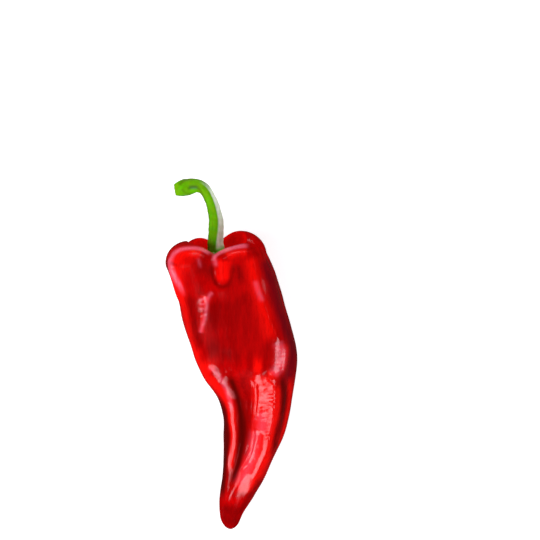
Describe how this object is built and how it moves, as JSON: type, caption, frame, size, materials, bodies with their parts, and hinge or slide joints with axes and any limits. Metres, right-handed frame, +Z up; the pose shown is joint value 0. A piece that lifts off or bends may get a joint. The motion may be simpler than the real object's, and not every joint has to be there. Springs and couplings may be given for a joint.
{
  "type": "espelette pepper",
  "caption": "Ripe red tapered chilli pepper lying on its side, with lobed shoulders, a bent pointed tip, a small green calyx and a hooked green peduncle.",
  "frame": {"origin": "on the surface that the pepper lies on, under the middle of its box", "axes": "+Z up; +Y along the pepper from its tip to its stem; +X to the right when it is seen from above with the stem at the top"},
  "size_m": [0.0525, 0.1483, 0.0376],
  "materials": {
    "ripe_skin": "glossy, thin-skinned, deep to bright red, with softly rippled ridges",
    "calyx_green": "satin green plant tissue with radial ribs",
    "stalk_green": "satin yellow-green stalk with fine lengthwise ridges and a pale side"
  },
  "bodies": {
    "root": {"pepper_fruit": "ripe_skin", "calyx": "calyx_green", "peduncle": "stalk_green"}
  },
  "joints": []
}
